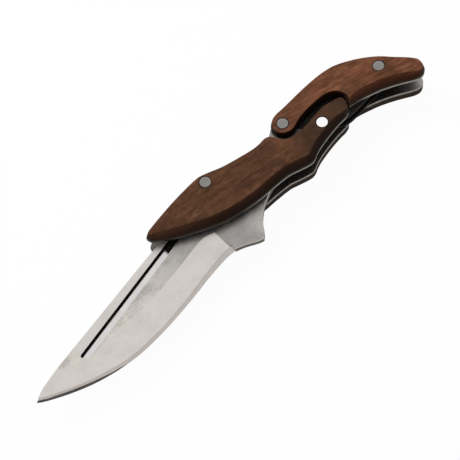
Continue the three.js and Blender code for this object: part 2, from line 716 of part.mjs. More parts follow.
addPair('lever_spring', leafSpring(), darkSteel);
addPair('spring_rivet', rod(
  SPRING_RIVET, SPRING_RIVET_RADIUS, PLATE_HIGH - SPRING_WIDTH, NEAR_LINER_OUTER,
), rivetSteel);

addScales('rear_scale', REAR_SCALE_OUTLINE, [HINGE, BUTT_RIVET], redWood);
addPair('rear_liner', rearLiner(), linerSteel);
addPair('hinge_rivet', scaleRivet(HINGE, PLATE_LOW), rivetSteel);
addPair('butt_rivet', scaleRivet(BUTT_RIVET, PLATE_LOW), rivetSteel);
addPair('lever_plate', leverPlate(), darkSteel);
add('back_spacer', backSpacer(), linerSteel);
SPACER_PINS.forEach((place, i) => {
  add(`spacer_pin_${i + 1}`, rod(place, SPACER_PIN_RADIUS, LINER_OUTER, NEAR_LINER_OUTER), rivetSteel);
});

export default knife;
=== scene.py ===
import json
import math

import bmesh
import bpy
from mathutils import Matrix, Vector

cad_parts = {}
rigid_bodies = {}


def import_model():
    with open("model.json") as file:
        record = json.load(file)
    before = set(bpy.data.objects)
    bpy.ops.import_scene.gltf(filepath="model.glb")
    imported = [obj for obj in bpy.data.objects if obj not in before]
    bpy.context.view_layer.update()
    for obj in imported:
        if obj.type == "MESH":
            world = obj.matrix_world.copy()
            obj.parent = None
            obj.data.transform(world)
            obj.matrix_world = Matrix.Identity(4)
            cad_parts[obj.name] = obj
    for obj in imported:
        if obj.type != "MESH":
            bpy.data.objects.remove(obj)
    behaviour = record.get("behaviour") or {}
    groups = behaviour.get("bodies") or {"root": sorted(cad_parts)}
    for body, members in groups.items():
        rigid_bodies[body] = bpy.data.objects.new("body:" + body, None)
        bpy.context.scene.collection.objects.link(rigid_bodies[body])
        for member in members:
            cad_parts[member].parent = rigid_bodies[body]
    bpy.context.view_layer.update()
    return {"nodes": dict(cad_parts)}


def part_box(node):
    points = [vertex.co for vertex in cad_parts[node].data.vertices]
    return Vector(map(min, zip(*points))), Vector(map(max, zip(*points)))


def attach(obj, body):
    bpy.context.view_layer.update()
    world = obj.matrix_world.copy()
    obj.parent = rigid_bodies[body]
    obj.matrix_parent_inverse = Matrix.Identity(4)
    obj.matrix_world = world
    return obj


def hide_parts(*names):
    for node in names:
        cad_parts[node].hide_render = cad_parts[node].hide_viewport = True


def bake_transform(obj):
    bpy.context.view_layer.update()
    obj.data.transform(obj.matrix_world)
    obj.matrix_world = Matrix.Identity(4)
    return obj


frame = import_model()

MM = 0.001

# Camera of the photograph, in the knife's frame
CAMERA_PLACE = Vector((-89.5, -162.8, 382.5)) * MM
CAMERA_FORWARD = Vector((0.2125, 0.3788, -0.9008))
CAMERA_UP = Vector((0.6296, 0.6519, 0.4226))
LENS_MM = 82.96
SENSOR_MM = 36

HALF_THICK = 8.4 * MM

# Dark glue line round the rivets
RING_WIDTH = 0.42 * MM

# Places in mm and directions of the scratches in the front scale
SCRATCHES = [(-8.9, 5.4, 1.9), (-8, 4.6, 2.2), (-7.6, 6.4, 1.7)]

# Directions of the wood's grain and of the blade in the plane of the knife
FRONT_GRAIN = math.radians(-6)
REAR_GRAIN = math.radians(-14)
BLADE_ANGLE = math.radians(12)

# Fine outlines: a corner sharper than this stays a corner
CORNER = math.radians(52)
CURVE_STEPS = 4
# Corners from this angle on are rounded twice, between these X in mm and above the arm's end
EASED_FROM = math.radians(20)
EASED_SPAN = (25, 90)
EASED_ROUNDS = 2
ARM_END = (66, 3)
SMOOTH_BELOW = math.radians(34)
SAME_PLANE = math.radians(0.1)
PLATE_BREAK = 0.12 * MM
TURNED_BREAK = 0.06 * MM
TANG_BREAK = 0.22 * MM
TANG_CORNER = (-5, -3)
ROUND_SIDES = 72
# A turned piece's corner nearer to its axis than this, in mm, is its middle
ON_AXIS = 0.1
TURNED_DIGITS = 2
# Two outlines are matched by every fifth corner
MATCH_STEP = 5

# Corners closer than this are one; the solids' own need a little more
SAME_PLACE = 0.001 * MM
SAME_CORNER = 0.002 * MM
CAP_HEIGHT = 0.01 * MM

# Share of the height and of the bevel along the edge of a scale
NEAR_EDGE = [(0, 0), (0.3, 0), (0.34, 0.012), (0.39, 0.06), (0.5, 0.21), (0.66, 0.43), (0.8, 0.63),
             (0.89, 0.78), (0.94, 0.87), (0.975, 0.935), (0.992, 0.975), (1, 1)]
FAR_EDGE = [(0, 0), (0.8, 0), (0.86, 0.1), (0.92, 0.28), (0.97, 0.58), (1, 1)]

# Cutting edge, in mm: place, width of the ground bevel, of the sharpened one and of its lip
SHARPENED = [
    (-5.4, -13.7, 10.8, 2.5, 0), (-10.2, -13.6, 11.9, 2.3, 0), (-16.1, -14.4, 12.3, 2, 0),
    (-22.2, -15.5, 12, 1.8, 0), (-31.9, -17.5, 12.1, 1.5, 0), (-45.8, -19.7, 12.4, 1.3, 0),
    (-58.4, -20.6, 13, 1.3, 0), (-64, -20.4, 12.6, 1.4, 0.08), (-69.4, -19.8, 12.2, 1.5, 0.5),
    (-79.3, -17.7, 11.2, 1.7, 0.95), (-88.2, -14.6, 10.9, 1.7, 1.05),
    (-96.7, -10.7, 9.5, 1.5, 0.85), (-100.2, -8.5, 9, 1.4, 0.7),
]
# Half the blade's thickness lost over the ground bevel, and left at the solid's and the new edge
GRIND_DROP = 1.22
EDGE_HALF = 0.18
SHARP_HALF = 0.06
# The cutting wedges reach past the edge, above the blade and a little past what they leave
WEDGE_OUT = 0.6
WEDGE_HIGH = 3
BEVEL_REACH = 1.02
LIP_REACH = 1.5

# The long pull, in mm: its ends, its direction, and the strip where its zones are looked for
PULL_START = Vector((-14, 8.4, 0))
PULL_END = Vector((-76, -6.7, 0))
PULL_LENGTH = (PULL_END - PULL_START).length
PULL_ALONG = (PULL_END - PULL_START).normalized()
PULL_SPAN = (-78.5, -12)
PULL_BESIDE = 3.6
PULL_DEPTH = 1.3
# Places across it, counted from its line towards the back: a painted highlight, the bright line
# beside the floor, lies between the first two, and the painted shade starts at the third
FLOOR_EDGE = -2.4
FLOOR_LINE = -2.65
SHADE_EDGE = -0.05
# Depths under the near face: the painted shade lies deeper than the first, the face less than
# the second
SHADE_DEPTH = 0.6
TOP_DEPTH = 0.1

# Where the leaf springs leave their eye, and their free end
SPRING_HELD = (29 * MM, 11.5 * MM, HALF_THICK)
SPRING_FREE = (17 * MM, 7.6 * MM, HALF_THICK)

# Zones of the blade, kept on its faces, and the steel's colour in each
FLAT, GROUND, STONED, CHANNEL, PULL_FLOOR, WALL, LIP, STRIP = range(8)
# The lip's dark grey is a painted dark reflection along the edge near the point
ZONE_SHADES = ["a5a2a0", "d8d2cc", "c1bab4", "070606", "e0dede", "7d7975", "4c4946", "d7d2ce"]
ZONES = len(ZONE_SHADES)

# How level a face is: at least, or less for an upright one
LYING = 0.999
UPRIGHT = 0.2
FLAT_LEVEL = 0.9996
GROUND_LEVEL = 0.9
FLOOR_LEVEL = 0.7
STONED_LEVEL = 0.6

# Sockets of a Mix node that mixes colours
MIX_SHARE, MIX_UNDER, MIX_OVER, MIX_RESULT = 0, 6, 7, 2


def rgb(code):
    """sRGB hex to a linear colour with alpha."""
    channels = [int(code[i:i + 2], 16) / 255 for i in (0, 2, 4)]
    return [c / 12.92 if c <= 0.04045 else ((c + 0.055) / 1.055) ** 2.4 for c in channels] + [1.0]


def add(tree, kind, inputs=None, stops=None, **settings):
    """One node with its settings; inputs are values, or the sockets that feed them."""
    node = tree.nodes.new(kind)
    for name, value in settings.items():
        setattr(node, name, value)
    for name, value in (inputs or {}).items():
        if isinstance(value, bpy.types.NodeSocket):
            tree.links.new(value, node.inputs[name])
        else:
            node.inputs[name].default_value = value
    if stops:
        ramp = node.color_ramp
        while len(ramp.elements) < len(stops):
            ramp.elements.new(0.5)
        for element, (position, code) in zip(ramp.elements, stops):
            element.position = position
            element.color = rgb(code)
    return node


def new_material(name):
    material = bpy.data.materials.new(name)
    material.use_nodes = True
    material.node_tree.nodes.clear()
    return material, material.node_tree


def finished(material, surface, relief=None):
    """The material with its surface, and its fine relief: height, strength and depth in mm."""
    tree = material.node_tree
    if relief:
        height, strength, depth = relief
        bump = add(tree, "ShaderNodeBump", {
            "Height": height, "Strength": strength, "Distance": depth * MM})
        tree.links.new(bump.outputs[0], surface.inputs["Normal"])
    add(tree, "ShaderNodeOutputMaterial", {"Surface": surface.outputs[0]})
    return material


# Patterns that the materials share

def ranged(tree, *masks):
    """Product of masks: each is a socket, or a value that goes from low to high and makes the
    mask go from least to most, which are 0 and 1 if they aren't given."""
    product = None
    for mask in masks:
        if isinstance(mask, tuple):
            value, low, high, least, most = mask if len(mask) == 5 else (*mask, 0, 1)
            mask = add(tree, "ShaderNodeMapRange", {
                "Value": value, "From Min": low, "From Max": high, "To Min": least,
                "To Max": most}).outputs[0]
        product = mask if product is None else add(
            tree, "ShaderNodeMath", {0: product, 1: mask}, operation="MULTIPLY").outputs[0]
    return product


def laid_over(tree, under, over, *masks):
    """A colour with another over it, by the product of the masks; each is hex or a socket."""
    under, over = (rgb(one) if isinstance(one, str) else one for one in (under, over))
    return add(tree, "ShaderNodeMix", {
        MIX_SHARE: ranged(tree, *masks), MIX_UNDER: under, MIX_OVER: over},
        data_type="RGBA").outputs[MIX_RESULT]


def apart(tree, value, middle):
    """How far a value lies from the middle, on either side."""
    aside = add(tree, "ShaderNodeMath", {0: value, 1: middle}, operation="SUBTRACT").outputs[0]
    return add(tree, "ShaderNodeMath", {0: aside}, operation="ABSOLUTE").outputs[0]


def levelness(tree):
    """1 on a face that lies flat, 0 on an upright one."""
    normal = add(tree, "ShaderNodeNewGeometry").outputs["Normal"]
    upward = add(tree, "ShaderNodeSeparateXYZ", {0: normal}).outputs["Z"]
    return add(tree, "ShaderNodeMath", {0: upward}, operation="ABSOLUTE").outputs[0]


def noise(tree, place, scale, detail=4, rough=0.6, turn=0.0, distort=0.0):
    """Noise with cells of the given size in mm along X, Y and Z of the turned knife."""
    lay = add(tree, "ShaderNodeMapping", {"Vector": place, "Rotation": (0, 0, turn)})
    sized = add(tree, "ShaderNodeMapping", {
        "Vector": lay.outputs[0], "Scale": tuple(1 / (size * MM) for size in scale)})
    return add(tree, "ShaderNodeTexNoise", {
        "Vector": sized.outputs[0], "Scale": 1, "Detail": detail, "Roughness": rough,
        "Distortion": distort}).outputs["Fac"]


def gap_shade(tree, x, y):
    """Share of painted shade round the gap behind the arm: X from 34 to 71 and Y over 4 mm."""
    return ranged(tree, (apart(tree, x, 52.5 * MM), 19.5 * MM, 17.5 * MM),
                  (y, 3.5 * MM, 4.5 * MM))


# Materials

def oiled_hardwood(name, shades, pale, dark, grain, rivets, soiled, depth):
    """Oiled hardwood, sanded by hand and worn: walnut on the front half, redder on the rear.

    Fine mottling with soft streaks along the grain, short dark pores, paler rubbed patches,
    and bevels painted much darker than the flat as shade."""
    material, tree = new_material(name)
    place = add(tree, "ShaderNodeTexCoord").outputs["Object"]
    parts = add(tree, "ShaderNodeSeparateXYZ", {0: place})
    x, y, z = (parts.outputs[axis] for axis in "XYZ")
    # Growth rings: soft streaks 1.3 mm wide and 13 mm long
    streak = noise(tree, place, (13, 1.3, 3), 6, 0.66, -grain, 0.5)
    # Mottled figure 2 mm wide
    mottle = noise(tree, place, (3, 2, 3), 6, 0.72, -grain)
    # Pores are 0.1 mm wide in the wood, drawn 0.28 mm wide so that they show
    pore = noise(tree, place, (1.5, 0.28, 0.5), 3, 0.6, -grain)
    # Rubbed patches 17 mm across
    patch = noise(tree, place, (17, 14, 17), 2, 0.5)
    # Places that have drunk more oil, 8 to 11 mm across
    oil = noise(tree, place, (11, 8, 9), 4, 0.6, 0.7)

    figure = add(tree, "ShaderNodeMath", {
        0: ranged(tree, (streak, 0.3, 0.7, 0, 0.55)),
        1: ranged(tree, (mottle, 0.3, 0.7, 0, 0.45))}, operation="ADD").outputs[0]
    colour = add(tree, "ShaderNodeValToRGB", {"Fac": figure}, stops=[
        (0.18, shades[0]), (0.42, shades[1]), (0.6, shades[2]), (0.82, shades[3])]).outputs[0]
    colour = laid_over(tree, colour, pale, (patch, 0.5, 0.7, 0, 0.6))
    colour = laid_over(tree, colour, "382a1f", (oil, 0.5, 0.68, 0, 0.5))
    # Soiled where the two halves overlap and fingers reach in
    clean, dirty, share = soiled
    colour = laid_over(tree, colour, "302620", (x, clean * MM, dirty * MM, 0, share))
    colour = laid_over(tree, colour, dark, (pore, 0.56, 0.7, 0, 0.5))
    # Pale scratches 0.3 mm wide and 3 mm long by the front rivet
    for right, up, lean in SCRATCHES:
        aside = add(tree, "ShaderNodeVectorMath", {0: place, 1: (right * MM, up * MM, 0)},
                    operation="SUBTRACT")
        lay = add(tree, "ShaderNodeMapping", {
            "Vector": aside.outputs[0], "Rotation": (0, 0, -lean), "Scale": (0.1, 1, 0)})
        reach = add(tree, "ShaderNodeVectorMath", {0: lay.outputs[0]}, operation="LENGTH")
        colour = laid_over(tree, colour, "a08068",
                           (reach.outputs["Value"], 0.2 * MM, 0.1 * MM, 0, 0.3))

    # The steeper the surface, the darker its painted shade. Least so by the nose, X from -22 to
    # -4 mm, and just under the ridge
    level = levelness(tree)
    away = apart(tree, z, HALF_THICK)
    colour = laid_over(
        tree, colour, dark, (level, 0.98, 0.78, 0, depth), (mottle, 0.35, 0.6, 0.84, 1),
        (x, -22 * MM, -4 * MM, 0.6, 1),
        (away, HALF_THICK - 0.2 * MM, HALF_THICK - 1.5 * MM, 0.86, 1))
    # Painted shade, darker still from the ridge down to the liner, 2 mm of height
    colour = laid_over(tree, colour, "110a05",
                       (away, HALF_THICK - 0.4 * MM, HALF_THICK - 2.4 * MM, 0, 0.6))
    # The upright foot is painted darker and greyer as shade, and black round the gap as painted
    # shadow
    foot = laid_over(tree, "322820", "0c0705", gap_shade(tree, x, y))
    colour = laid_over(tree, colour, foot, (level, 0.5, 0.15, 0, 0.82))

    # Dark glue line round each rivet
    flat_place = add(tree, "ShaderNodeVectorMath", {0: place, 1: (1, 1, 0)}, operation="MULTIPLY")
    for low, high in rivets:
        middle = (low + high) / 2
        radius = (high.x - low.x) / 2
        reach = add(tree, "ShaderNodeVectorMath", {
            0: flat_place.outputs[0], 1: (middle.x, middle.y, 0)}, operation="DISTANCE")
        colour = laid_over(tree, colour, "120b07", (
            reach.outputs["Value"], radius + RING_WIDTH, radius + RING_WIDTH / 2, 0, 0.92))

    height = add(tree, "ShaderNodeMath", {0: pore, 1: mottle}, operation="ADD").outputs[0]
    surface = add(tree, "ShaderNodeBsdfPrincipled", {
        "Base Color": colour, "Roughness": ranged(tree, (mottle, 0.3, 0.7, 0.62, 0.46)),
        "IOR": 1.45, "Specular IOR Level": 0.08})
    return finished(material, surface, (height, 0.4, 0.09))


def ground_blade_steel(name):
    """Belt ground stainless steel: satin flats, brighter bevels, stoned edge, painted shade in the
    groove.
    """
    material, tree = new_material(name)
    place = add(tree, "ShaderNodeTexCoord").outputs["Object"]
    x = add(tree, "ShaderNodeSeparateXYZ", {0: place}).outputs["X"]
    # Belt marks from spine to edge are 0.05 mm apart, drawn 0.3 mm apart so that they show
    marks = noise(tree, place, (0.3, 16, 6), 4, 0.6, -BLADE_ANGLE)
    # Handling stains: clouds 7 mm across and specks of 0.7 mm
    cloud = noise(tree, place, (8, 6, 8), 5, 0.62)
    speck = noise(tree, place, (0.8, 0.6, 0.8), 2, 0.5)
    zone = add(tree, "ShaderNodeAttribute", attribute_name="zone").outputs["Fac"]
    # A zone's number over ZONES is the zone's share; each colour starts a little below it
    step = 1 / ZONES
    shades = add(tree, "ShaderNodeValToRGB", {"Fac": zone}, stops=[
        (max(step * (kind - 0.2), 0), code) for kind, code in enumerate(ZONE_SHADES)])
    shades.color_ramp.interpolation = "CONSTANT"
    # Painted light: the flat is brighter towards the point, X from -10 to -52 mm, and the tang
    # towards its horn, X from 2 to 9 mm
    painted_light = add(tree, "ShaderNodeMath", {
        0: ranged(tree, (x, -10 * MM, -52 * MM)),
        1: ranged(tree, (x, 2 * MM, 9 * MM, 0, 0.35))}, operation="ADD").outputs[0]
    colour = laid_over(tree, shades.outputs[0], "dad4cd", painted_light, (zone, step * 0.6, step * 0.4))
    # Painted shadow blackens the pull's floor where the scale's edge crosses it, X -26 to -17 mm
    is_floor = add(tree, "ShaderNodeMath", {
        0: zone, 1: step * PULL_FLOOR, 2: step * 0.3}, operation="COMPARE").outputs[0]
    colour = laid_over(tree, colour, "0d0c0b", is_floor, (x, -26.4 * MM, -25.4 * MM),
                       (x, -16 * MM, -19 * MM))
    # Stains show on the flats, much less on the polished bevel
    stained = ranged(tree, (zone, step * 0.4, step * 0.6, 0.5, 0.14))
    colour = laid_over(tree, colour, "86827e", (cloud, 0.42, 0.68), stained)
    colour = laid_over(tree, colour, "5c5853", (speck, 0.6, 0.72), stained)
    surface = add(tree, "ShaderNodeBsdfPrincipled", {
        "Base Color": colour, "Metallic": 1.0,
        "Roughness": ranged(tree, (marks, 0, 1, 0.28, 0.46))})
    return finished(material, surface, (marks, 0.1, 0.02))


def hand_sanded_metal(name, bright, dull, scratch=0.3, rough=(0.3, 0.5), metallic=1.0):
    """Metal sanded by hand: crossing scratches, as wide as given in mm, and stains 3 mm across."""
    material, tree = new_material(name)
    place = add(tree, "ShaderNodeTexCoord").outputs["Object"]
    scratches = ranged(tree, *(
        noise(tree, place, (5, scratch, scratch), 3, 0.6, turn) for turn in (0.5, -0.35)))
    stain = noise(tree, place, (3.5, 3, 3), 4, 0.6)
    surface = add(tree, "ShaderNodeBsdfPrincipled", {
        "Base Color": laid_over(tree, bright, dull, (stain, 0.4, 0.75, 0, 0.6)),
        "Metallic": metallic, "Roughness": ranged(tree, (scratches, 0, 0.5, *rough))})
    return finished(material, surface, (scratches, 0.2, 0.02))


def liner_plate_steel(name, outside):
    """Sheared steel plate: bright cut edges, bare outer faces, faces painted dark as shade and
    light in places.
    """
    material, tree = new_material(name)
    place = add(tree, "ShaderNodeTexCoord").outputs["Object"]
    parts = add(tree, "ShaderNodeSeparateXYZ", {0: place})
    x, y, z = (parts.outputs[axis] for axis in "XYZ")
    scratches = noise(tree, place, (4, 0.3, 0.3), 3, 0.6, 0.4)
    stain = noise(tree, place, (3, 2.5, 2), 4, 0.6)
    # Inside, the plates are painted dark as shade, a little lighter at the nose, X from -14 to -20
    # mm, and painted light at the butt, X from 90 to 101 mm
    face = laid_over(tree, "54514b", "6e6a66", (x, -14 * MM, -20 * MM))
    face = laid_over(tree, face, "a7a39f", (x, 90 * MM, 101 * MM))
    # Outside they are bare, and painted light only in front of the arm's end, Y over 9 mm
    low, high = outside
    away = apart(tree, z, (low + high) / 2)
    reach = (high - low) / 2
    face = laid_over(tree, face, "a29e99", (away, reach - 0.3 * MM, reach - 0.1 * MM),
                     (y, 8 * MM, 9.5 * MM))
    # The cut edge is bright along the hand's grip, dark by the nose, X from 6 to 18 mm, and
    # painted dark round the gap as shade
    edge = laid_over(tree, "b0aca6", "75716c", (stain, 0.4, 0.7, 0, 0.6))
    edge = laid_over(tree, "4c4a46", edge, (x, 6 * MM, 18 * MM))
    edge = laid_over(tree, edge, "2c2a28", gap_shade(tree, x, y))
    surface = add(tree, "ShaderNodeBsdfPrincipled", {
        "Base Color": laid_over(tree, face, edge, (levelness(tree), 0.9, 0.8)), "Metallic": 1.0,
        "Roughness": ranged(tree, (scratches, 0, 1, 0.34, 0.5))})
    return finished(material, surface, (scratches, 0.2, 0.02))


def white_board(name):
    """Matt white board: a soft shadow, and white to the camera."""
    material, tree = new_material(name)
    path = add(tree, "ShaderNodeLightPath")
    board = add(tree, "ShaderNodeBsdfDiffuse", {"Color": rgb("f0f0f0")})
    glow = add(tree, "ShaderNodeEmission", {"Color": rgb("ffffff"), "Strength": 1.0})
    share = add(tree, "ShaderNodeMath", {0: path.outputs["Is Camera Ray"], 1: 0.95},
                operation="MULTIPLY")
    return finished(material, add(tree, "ShaderNodeMixShader", {
        0: share.outputs[0], 1: board.outputs[0], 2: glow.outputs[0]}))


# Shapes

def placed_mesh(node):
    """The node's solid in the knife's frame, with its doubled corners merged."""
    source = frame["nodes"][node]
    shape = bmesh.new()
    shape.from_mesh(source.data)
    shape.transform(source.matrix_world)
    bmesh.ops.remove_doubles(shape, verts=shape.verts, dist=SAME_CORNER)
    return shape


def cap_loops(shape, height):
    """Closed outlines of the flat cap at a height: the outer one first, then the holes."""
    # A dictionary keeps the faces' order, which a set doesn't, so each run gives the same mesh
    flat = dict.fromkeys(face for face in shape.faces if all(
        abs(corner.co.z - height) < CAP_HEIGHT for corner in face.verts))
    following = {}
    for face in flat:
        for loop in face.loops:
            if sum(1 for other in loop.edge.link_faces if other in flat) == 1:
                following[loop.vert] = loop.link_loop_next.vert
    outlines = []
    while following:
        first, current = next(iter(following.items()))
        del following[first]
        ring = [first.co.copy()]
        while current != first:
            ring.append(current.co.copy())
            current = following.pop(current)
        outlines.append(ring)
    return sorted(outlines, key=lambda ring: -sum((a - b).length for a, b in zip(ring, ring[1:])))


def flat_distance(first, second):
    return (first.xy - second.xy).length


def paired(low_loops, high_loops):
    """Each lower outline with the upper one over it, both anticlockwise from the same corner."""
    pairs = []
    for low in low_loops:
        low = list(reversed(low))
        centre = sum((spot.xy for spot in low), Vector((0, 0))) / len(low)
        matches = [ring for ring in high_loops if len(ring) == len(low)]
        high = min(matches, key=lambda ring: (
            sum((spot.xy for spot in ring), Vector((0, 0))) / len(ring) - centre).length)
        count = len(low)
        start = min(range(count), key=lambda shift: sum(
            flat_distance(low[i], high[(i + shift) % count]) for i in range(0, count, MATCH_STEP)))
        pairs.append((low, high[start:] + high[:start]))
    return pairs


def corner_flags(ring, least=CORNER):
    flags = []
    for i, spot in enumerate(ring):
        before = (spot - ring[i - 1]).xy
        after = (ring[(i + 1) % len(ring)] - spot).xy
        flags.append(before.length > 0 and after.length > 0 and before.angle(after) > least)
    return flags


def is_eased(spot):
    """The finger, the arm and the butt are rounded; the nose and the arm's lower end aren't."""
    in_span = EASED_SPAN[0] < spot.x < EASED_SPAN[1]
    return in_span and (spot.x < ARM_END[0] or spot.y > ARM_END[1])


def eased(ring, flags):
    """The outline with its flagged corners rounded, as sanding leaves them."""
    return [(ring[i - 1] + 2 * spot + ring[(i + 1) % len(ring)]) / 4 if flags[i] else spot
            for i, spot in enumerate(ring)]


def refined(ring, flags):
    """The outline as a smooth curve through its corners, with the flagged ones kept sharp."""
    count = len(ring)
    fine = []
    for i in range(count):
        a, b = ring[i], ring[(i + 1) % count]
        before = 2 * a - b if flags[i] else ring[i - 1]
        after = 2 * b - a if flags[(i + 1) % count] else ring[(i + 2) % count]
        for step in range(CURVE_STEPS):
            t = step / CURVE_STEPS
            fine.append(0.5 * (2 * a + (b - before) * t
                               + (2 * before - 5 * a + 4 * b - after) * t ** 2
                               + (3 * a - before - 3 * b + after) * t ** 3))
    for axis in (0, 1):
        least, most = min(spot[axis] for spot in ring), max(spot[axis] for spot in ring)
        for spot in fine:
            spot[axis] = min(max(spot[axis], least), most)
    return fine


def shifted(ring, distance):
    """The outline moved to its left, which is inwards for an anticlockwise one."""
    moved = []
    for i, spot in enumerate(ring):
        along = (ring[(i + 1) % len(ring)] - ring[i - 1]).xy.normalized()
        moved.append(spot + Vector((-along.y, along.x, 0)) * distance)
    return moved


def finish_mesh(shape, name):
    bmesh.ops.recalc_face_normals(shape, faces=shape.faces)
    for face in shape.faces:
        face.smooth = True
    for edge in shape.edges:
        edge.smooth = len(edge.link_faces) == 2 and edge.calc_face_angle(0) < SMOOTH_BELOW
    mesh = bpy.data.meshes.new(name)
    shape.to_mesh(mesh)
    shape.free()
    return mesh


def ring_edges(shape, spots, tall=None):
    """A closed outline of edges through the spots, all at one height where it is given."""
    corners = [shape.verts.new(spot if tall is None else (spot.x, spot.y, tall)) for spot in spots]
    return [shape.edges.new((a, b)) for a, b in zip(corners, corners[1:] + corners[:1])]


def layered(node, profile=None, outer_up=True, rounded=True, edge_break=PLATE_BREAK):
    """The node's plate or scale with fine outlines; the profile runs along a scale's edge."""
    source = placed_mesh(node)
    low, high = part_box(node)
    pairs = paired(cap_loops(source, low.z), cap_loops(source, high.z))
    source.free()
    shape = bmesh.new()
    caps = ([], [])
    for order, (below, above) in enumerate(pairs):
        for _ in range(EASED_ROUNDS if rounded and order == 0 else 0):
            soft = [flag and is_eased(spot / MM)
                    for flag, spot in zip(corner_flags(below, EASED_FROM), below)]
            below, above = eased(below, soft), eased(above, soft)
        flags = corner_flags(below)
        below, above = refined(below, flags), refined(above, flags)
        if profile and order == 0:
            levels = [(rise, share, 0) for rise, share in profile]
            if not outer_up:
                levels = [(1 - rise, 1 - share, 0) for rise, share in reversed(profile)]
        elif profile or not edge_break:
            levels = [(0, 0, 0), (1, 0, 0)]
        else:
            edge = edge_break / (high.z - low.z)
            levels = [(0, 0, edge_break), (edge, 0, 0), (1 - edge, 0, 0), (1, 0, edge_break)]
        rings = []
        for rise, share, inset in levels:
            ring = [a.lerp(b, share) for a, b in zip(below, above)]
            ring = shifted(ring, inset) if inset else ring
            rings.append(ring_edges(shape, ring, low.z + rise * (high.z - low.z)))
        for first, second in zip(rings, rings[1:]):
            bmesh.ops.bridge_loops(shape, edges=first + second)
        caps[0].extend(rings[0])
        caps[1].extend(rings[-1])
    for outlines in caps:
        bmesh.ops.triangle_fill(shape, edges=outlines, use_beauty=True)
    return finish_mesh(shape, node + "_finish")


def show(mesh, node, material, body):
    """A finished piece in the node's place, on its body; one with a span is left where it is."""
    mesh.materials.append(material)
    piece = bpy.data.objects.new(node + "_finish", mesh)
    bpy.context.scene.collection.objects.link(piece)
    if isinstance(body, tuple):
        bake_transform(piece)
    else:
        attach(piece, body)
    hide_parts(node)


def turned(node):
    """A round piece of the node's own profile, with more sides and its corners broken."""
    source = placed_mesh(node)
    low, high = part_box(node)
    centre = (low + high) / 2
    levels = {}
    for corner in source.verts:
        reach = round(flat_distance(corner.co, centre) / MM, TURNED_DIGITS)
        if reach > ON_AXIS:
            levels.setdefault(round(corner.co.z / MM, TURNED_DIGITS), set()).add(reach)
    source.free()
    bottom, top = min(levels), max(levels)
    profile = [(0, bottom)]
    for tall, reaches in sorted(levels.items()):
        order = sorted(reaches)
        last = profile[-1][0]
        if tall > bottom and abs(last - order[0]) > abs(last - order[-1]):
            order.reverse()
        profile += [(reach, tall) for reach in (order[-1:] if tall in (bottom, top) else order)]
    profile.append((0, top))
    shape = bmesh.new()
    line = [shape.verts.new((centre.x + reach * MM, centre.y, tall * MM))
            for reach, tall in profile]
    edges = [shape.edges.new(ends) for ends in zip(line, line[1:])]
    bmesh.ops.spin(shape, geom=line + edges, cent=centre, axis=(0, 0, 1), angle=2 * math.pi,
                   steps=ROUND_SIDES, use_merge=True)
    bmesh.ops.remove_doubles(shape, verts=shape.verts, dist=SAME_PLACE)
    bmesh.ops.recalc_face_normals(shape, faces=shape.faces)
    sharp = [edge for edge in shape.edges if edge.calc_face_angle(0) > SMOOTH_BELOW]
    bmesh.ops.bevel(shape, geom=sharp, offset=TURNED_BREAK, segments=2, profile=0.5,
                    affect="EDGES", material=-1, clamp_overlap=True)
    return finish_mesh(shape, node + "_finish")


def edge_cutter(name, side, middle, sections):
    """Wedge along the cutting edge; its lower side, from reach to reach, is the new bevel."""
    shape = bmesh.new()
    rings = []
    for i, ((x, y), section) in enumerate(sections):
        before, after = sections[max(i - 1, 0)][0], sections[min(i + 1, len(sections) - 1)][0]
        along = Vector((after[0] - before[0], after[1] - before[1])).normalized()
        inward = Vector((along.y, -along.x))
        spots = []
        for reach, lift in section:
            spot = Vector((x, y)) + inward * reach
            spots.append(Vector((spot.x, spot.y, middle / MM + side * lift)) * MM)
        rings.append(ring_edges(shape, spots))
    for first, second in zip(rings, rings[1:]):
        bmesh.ops.bridge_loops(shape, edges=first + second)
    bmesh.ops.holes_fill(shape, edges=rings[0] + rings[-1], sides=4)
    bmesh.ops.triangulate(shape, faces=shape.faces)
    bmesh.ops.recalc_face_normals(shape, faces=shape.faces)
    mesh = bpy.data.meshes.new(name)
    shape.to_mesh(mesh)
    shape.free()
    mesh.materials.append(bpy.data.materials.new(name))
    return bpy.data.objects.new(name, mesh)


def sharpened_sections():
    """Sections of the wedges that leave the sharpened bevel, and the lip near the point."""
    bevels, lips = [], []
    for x, y, run, width, lip in SHARPENED:
        start = EDGE_HALF + GRIND_DROP * width / run
        slope = (start - SHARP_HALF) / width
        reach = width * BEVEL_REACH
        bevels.append(((x, y), [(reach, SHARP_HALF + slope * reach),
                                (-WEDGE_OUT, SHARP_HALF - slope * WEDGE_OUT),
                                (-WEDGE_OUT, WEDGE_HIGH), (reach, WEDGE_HIGH)]))
        if lip:
            steep = slope + SHARP_HALF / lip
            reach = lip * LIP_REACH
            lips.append(((x, y), [(reach, steep * reach), (-WEDGE_OUT, -steep * WEDGE_OUT),
                                  (-WEDGE_OUT, WEDGE_HIGH), (reach, WEDGE_HIGH)]))
    return bevels, lips


def cut_by(body, cutters):
    """The body's mesh less the cutters; each face that a cutter leaves keeps its material."""
    scene = bpy.context.scene.collection.objects
    scene.link(body)
    for cutter in cutters:
        scene.link(cutter)
        carve = body.modifiers.new("carve", "BOOLEAN")
        carve.operation = "DIFFERENCE"
        carve.solver = "EXACT"
        carve.object = cutter
        carve.material_mode = "TRANSFER"
    bpy.context.view_layer.update()
    evaluated = body.evaluated_get(bpy.context.evaluated_depsgraph_get())
    mesh = bpy.data.meshes.new_from_object(evaluated)
    for piece in [body, *cutters]:
        bpy.data.objects.remove(piece)
    return mesh


